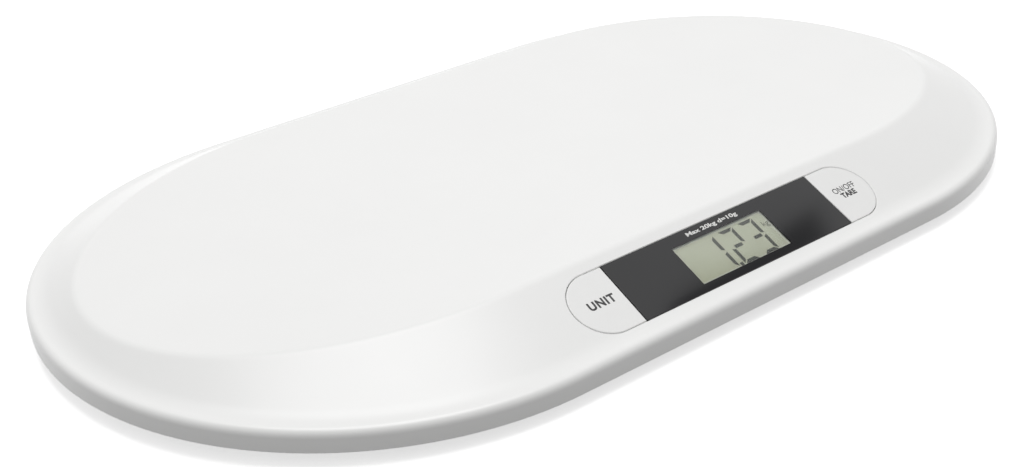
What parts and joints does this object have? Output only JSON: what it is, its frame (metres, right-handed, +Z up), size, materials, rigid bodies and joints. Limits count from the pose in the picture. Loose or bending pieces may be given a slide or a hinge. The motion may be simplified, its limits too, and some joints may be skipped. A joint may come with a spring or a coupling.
{
  "type": "baby weighing scale",
  "caption": "Low oval weighing tray on four load-cell feet, with a tilted display window between two round-ended push buttons.",
  "frame": {"origin": "centre of the footprint, on the surface that the rubber pads stand on", "axes": "+X along the length, to the right of someone facing the panel; +Y from the panel to the rear; +Z up"},
  "size_m": [0.55, 0.33, 0.0342],
  "materials": {
    "tray_abs": "smooth satin white",
    "base_abs": "fine matt texture",
    "carrier_abs": "matt",
    "window_acrylic": "clear, polished",
    "black_print": "gloss black print",
    "foam_tape": "foam",
    "lcd_glass": "polished",
    "lcd_film": "matt film",
    "lcd_digit": "matt",
    "silicone_dark": "matt",
    "board_fr4": "solder mask",
    "black_resin": "gloss",
    "board_part": "matt",
    "header_nylon": "matt",
    "button_abs": "smooth satin white",
    "silicone_grey": "matt",
    "gauge_coat": "matt",
    "battery_wrap": "gloss",
    "contact_steel": "nickel plated",
    "lead_red": "satin",
    "lead_black": "satin",
    "screw_steel": "zinc plated",
    "cell_steel": "nickel plated",
    "clamp_abs": "matt",
    "foot_abs": "matt",
    "pad_rubber": "matt"
  },
  "bodies": {
    "housing": {"top_tray": "tray_abs", "base_shell": "base_abs", "panel_carrier": "carrier_abs", "display_window": "window_acrylic", "window_mask": "black_print", "window_gasket": "foam_tape", "lcd_cell": "lcd_glass", "lcd_film": "lcd_film", "lcd_digits": "lcd_digit", "contact_strips": "silicone_dark", "main_board": "board_fr4", "controller_blob": "black_resin", "board_parts": "board_part", "wire_headers": "header_nylon", "unit_dome": "silicone_grey", "tare_dome": "silicone_grey", "load_cell_front_left": "cell_steel", "load_cell_front_right": "cell_steel", "load_cell_rear_left": "cell_steel", "load_cell_rear_right": "cell_steel", "cell_clamp_front_left": "clamp_abs", "cell_clamp_front_right": "clamp_abs", "cell_clamp_rear_left": "clamp_abs", "cell_clamp_rear_right": "clamp_abs", "foot_front_left": "foot_abs", "foot_front_right": "foot_abs", "foot_rear_left": "foot_abs", "foot_rear_right": "foot_abs", "pad_front_left": "pad_rubber", "pad_front_right": "pad_rubber", "pad_rear_left": "pad_rubber", "pad_rear_right": "pad_rubber", "strain_gauges": "gauge_coat", "battery_front": "battery_wrap", "battery_rear": "battery_wrap", "battery_springs": "contact_steel", "contact_plates": "contact_steel", "load_cell_leads": "lead_red", "battery_leads": "lead_black", "case_screws": "screw_steel", "clamp_screws": "screw_steel", "board_screws": "screw_steel"},
    "unit_key": {"unit_button": "button_abs"},
    "tare_key": {"tare_button": "button_abs"},
    "battery_cover": {"battery_door": "base_abs"}
  },
  "joints": [
    {"name": "unit_press", "type": "slide", "parent": "housing", "child": "unit_key", "axis": [0, 0.4266, -0.9044], "range_m": [0, 0.0009], "stiffness_N_per_m": 700, "springref_m": -0.0008, "deforming": ["unit_dome"]},
    {"name": "tare_press", "type": "slide", "parent": "housing", "child": "tare_key", "axis": [0, 0.4266, -0.9044], "range_m": [0, 0.0009], "stiffness_N_per_m": 700, "springref_m": -0.0008, "deforming": ["tare_dome"]},
    {"name": "battery_door_swing", "type": "hinge", "parent": "housing", "child": "battery_cover", "pos_m": [0, 0.051, 0.0076], "axis": [1, 0, 0], "range_deg": [0, 95]}
  ]
}
